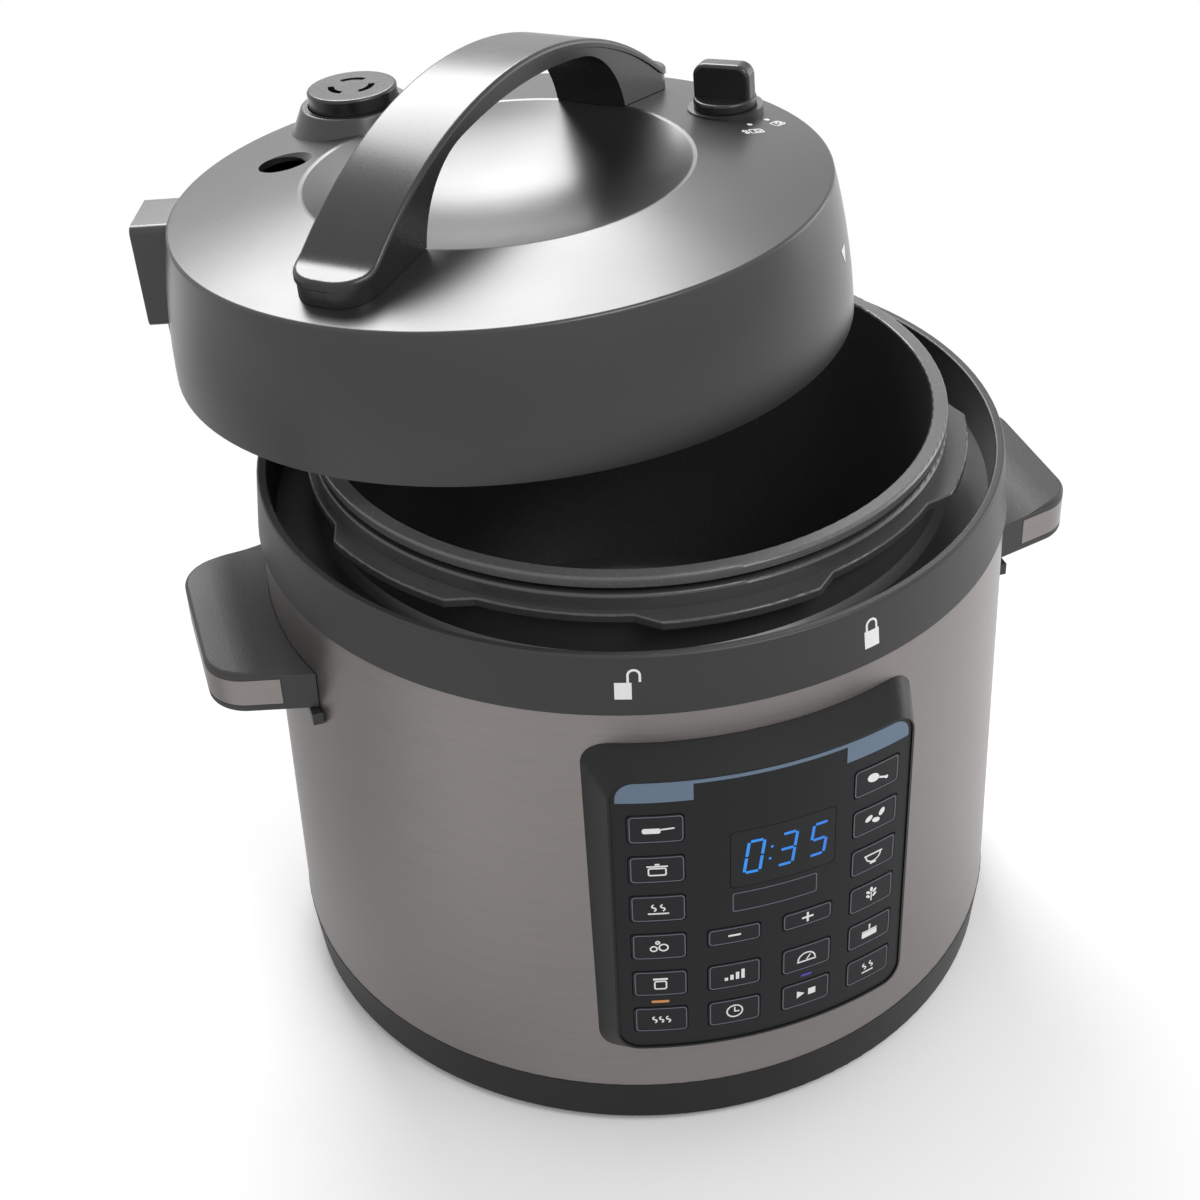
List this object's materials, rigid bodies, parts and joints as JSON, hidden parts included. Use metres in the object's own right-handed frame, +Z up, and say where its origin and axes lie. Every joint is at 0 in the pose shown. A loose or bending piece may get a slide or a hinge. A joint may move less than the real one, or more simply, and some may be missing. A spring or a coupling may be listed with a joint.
{
  "type": "electric pressure cooker",
  "caption": "Electric pressure cooker with a brushed steel body, black collar, push-button panel, side handles and an arched-handle lid lifted off over the inner pot",
  "frame": {"origin": "on the bench, under the axis of the inner pot", "axes": "+Z up, front with the control panel towards -Y, right-hand side handle towards +X"},
  "size_m": [0.336, 0.3381, 0.3438],
  "materials": {
    "brushed_steel": "brushed around the body",
    "trim_steel": "brushed along the band",
    "body_plastic": "satin, fine texture",
    "lid_plastic": "satin, smooth",
    "panel_plastic": "satin flanks",
    "overlay_plastic": "satin face with light outlines",
    "key_plastic": "satin",
    "display_glass": "smoked",
    "pot_coating": "non-stick coat, satin",
    "liner_steel": "dark satin",
    "plain_steel": "satin",
    "cast_aluminium": "machined top",
    "silicone": "matt, milky",
    "black_rubber": "matt",
    "board": "circuit board",
    "electric_plastic": "matt",
    "spring_steel": "bright wire"
  },
  "bodies": {
    "base": {"housing": "brushed_steel", "collar": "body_plastic", "base_ring": "body_plastic", "bottom_cover": "plain_steel", "feet": "black_rubber", "base_screws": "plain_steel", "left_handle": "body_plastic", "right_handle": "body_plastic", "left_trim": "trim_steel", "right_trim": "trim_steel", "handle_screws": "plain_steel", "panel_bezel": "panel_plastic", "keypad_overlay": "overlay_plastic", "display_window": "display_glass", "display_module": "electric_plastic", "keypad_mat": "silicone", "control_board": "board", "pressure_liner": "liner_steel", "heating_plate": "cast_aluminium", "heating_element": "plain_steel", "sensor_spring": "spring_steel", "pressure_switch": "electric_plastic", "power_board": "board", "power_inlet": "electric_plastic"},
    "inner_pot": {"inner_pot": "pot_coating"},
    "sensor": {"sensor_button": "cast_aluminium"},
    "relief_ball": {"relief_ball": "spring_steel"},
    "sealing_ring": {"sealing_ring": "silicone"},
    "lid": {"lid_cover": "lid_plastic", "grip_cover": "lid_plastic", "grip_base": "lid_plastic", "inner_lid": "plain_steel", "seal_rack": "spring_steel", "lid_screws": "plain_steel", "vent_pipe": "plain_steel", "anti_block_shield": "plain_steel", "relief_spring": "spring_steel"},
    "steam_valve": {"valve_weight": "lid_plastic"},
    "float_valve": {"float_pin": "plain_steel", "float_seal": "silicone"},
    "release_knob": {"release_knob": "lid_plastic", "knob_shaft": "plain_steel"},
    "left_key_1": {"left_key_1": "key_plastic"},
    "right_key_1": {"right_key_1": "key_plastic"},
    "left_key_2": {"left_key_2": "key_plastic"},
    "right_key_2": {"right_key_2": "key_plastic"},
    "left_key_3": {"left_key_3": "key_plastic"},
    "right_key_3": {"right_key_3": "key_plastic"},
    "left_key_4": {"left_key_4": "key_plastic"},
    "right_key_4": {"right_key_4": "key_plastic"},
    "left_key_5": {"left_key_5": "key_plastic"},
    "right_key_5": {"right_key_5": "key_plastic"},
    "left_key_6": {"left_key_6": "key_plastic"},
    "right_key_6": {"right_key_6": "key_plastic"},
    "minus_key": {"minus_key": "key_plastic"},
    "plus_key": {"plus_key": "key_plastic"},
    "level_key": {"level_key": "key_plastic"},
    "delay_key": {"delay_key": "key_plastic"},
    "manual_key": {"manual_key": "key_plastic"},
    "start_key": {"start_key": "key_plastic"}
  },
  "joints": [
    {"name": "pot_lift", "type": "slide", "parent": "base", "child": "inner_pot", "axis": [0, 0, 1], "range_m": [0, 0.175]},
    {"name": "lid_lift", "type": "hinge", "parent": "inner_pot", "child": "relief_ball", "pos_m": [-0.01588, 0.03533, 0.24663], "axis": [-0.9121, -0.41, 0], "range_deg": [-135.55, 0]},
    {"name": "lid_level", "type": "hinge", "parent": "relief_ball", "child": "sealing_ring", "pos_m": [-0.02722, 0.06054, 0.27375], "axis": [-0.9121, -0.41, 0], "range_deg": [0, 131.69]},
    {"name": "lid_turn", "type": "hinge", "parent": "sealing_ring", "child": "lid", "pos_m": [-0.0263, 0.0585, 0.2414], "axis": [-0.0283, 0.063, 0.9976], "range_deg": [-79.5, 0]},
    {"name": "valve_lift", "type": "slide", "parent": "lid", "child": "steam_valve", "axis": [-0.0283, 0.063, 0.9976], "range_m": [0, 0.003]},
    {"name": "float_rise", "type": "slide", "parent": "lid", "child": "float_valve", "axis": [-0.0283, 0.063, 0.9976], "range_m": [0, 0.006]},
    {"name": "knob_turn", "type": "hinge", "parent": "lid", "child": "release_knob", "pos_m": [0.06925, 0.0856, 0.30158], "axis": [-0.0283, 0.063, 0.9976], "range_deg": [-38, 0]},
    {"name": "sensor_press", "type": "slide", "parent": "base", "child": "sensor", "axis": [0, 0, 1], "range_m": [-0.002, 0], "stiffness_N_per_m": 900, "springref_m": 0.003, "deforming": ["sensor_spring"]},
    {"name": "left_key_1_press", "type": "slide", "parent": "base", "child": "left_key_1", "axis": [0.2623, 0.965, 0], "range_m": [0, 0.0004], "stiffness_N_per_m": 600},
    {"name": "right_key_1_press", "type": "slide", "parent": "base", "child": "right_key_1", "axis": [-0.2623, 0.965, 0], "range_m": [0, 0.0004], "stiffness_N_per_m": 600},
    {"name": "left_key_2_press", "type": "slide", "parent": "base", "child": "left_key_2", "axis": [0.2623, 0.965, 0], "range_m": [0, 0.0004], "stiffness_N_per_m": 600},
    {"name": "right_key_2_press", "type": "slide", "parent": "base", "child": "right_key_2", "axis": [-0.2623, 0.965, 0], "range_m": [0, 0.0004], "stiffness_N_per_m": 600},
    {"name": "left_key_3_press", "type": "slide", "parent": "base", "child": "left_key_3", "axis": [0.2623, 0.965, 0], "range_m": [0, 0.0004], "stiffness_N_per_m": 600},
    {"name": "right_key_3_press", "type": "slide", "parent": "base", "child": "right_key_3", "axis": [-0.2623, 0.965, 0], "range_m": [0, 0.0004], "stiffness_N_per_m": 600},
    {"name": "left_key_4_press", "type": "slide", "parent": "base", "child": "left_key_4", "axis": [0.2623, 0.965, 0], "range_m": [0, 0.0004], "stiffness_N_per_m": 600},
    {"name": "right_key_4_press", "type": "slide", "parent": "base", "child": "right_key_4", "axis": [-0.2623, 0.965, 0], "range_m": [0, 0.0004], "stiffness_N_per_m": 600},
    {"name": "left_key_5_press", "type": "slide", "parent": "base", "child": "left_key_5", "axis": [0.2623, 0.965, 0], "range_m": [0, 0.0004], "stiffness_N_per_m": 600},
    {"name": "right_key_5_press", "type": "slide", "parent": "base", "child": "right_key_5", "axis": [-0.2623, 0.965, 0], "range_m": [0, 0.0004], "stiffness_N_per_m": 600},
    {"name": "left_key_6_press", "type": "slide", "parent": "base", "child": "left_key_6", "axis": [0.2623, 0.965, 0], "range_m": [0, 0.0004], "stiffness_N_per_m": 600},
    {"name": "right_key_6_press", "type": "slide", "parent": "base", "child": "right_key_6", "axis": [-0.2623, 0.965, 0], "range_m": [0, 0.0004], "stiffness_N_per_m": 600},
    {"name": "minus_press", "type": "slide", "parent": "base", "child": "minus_key", "axis": [0.0901, 0.9959, 0], "range_m": [0, 0.0004], "stiffness_N_per_m": 600},
    {"name": "plus_press", "type": "slide", "parent": "base", "child": "plus_key", "axis": [-0.0901, 0.9959, 0], "range_m": [0, 0.0004], "stiffness_N_per_m": 600},
    {"name": "level_press", "type": "slide", "parent": "base", "child": "level_key", "axis": [0.0901, 0.9959, 0], "range_m": [0, 0.0004], "stiffness_N_per_m": 600},
    {"name": "delay_press", "type": "slide", "parent": "base", "child": "delay_key", "axis": [0.0901, 0.9959, 0], "range_m": [0, 0.0004], "stiffness_N_per_m": 600},
    {"name": "manual_press", "type": "slide", "parent": "base", "child": "manual_key", "axis": [-0.0901, 0.9959, 0], "range_m": [0, 0.0004], "stiffness_N_per_m": 600},
    {"name": "start_press", "type": "slide", "parent": "base", "child": "start_key", "axis": [-0.0901, 0.9959, 0], "range_m": [0, 0.0004], "stiffness_N_per_m": 600}
  ],
  "couplings": [
    {"joint": "lid_level", "follows": "lid_lift", "ratio": -0.97079}
  ]
}
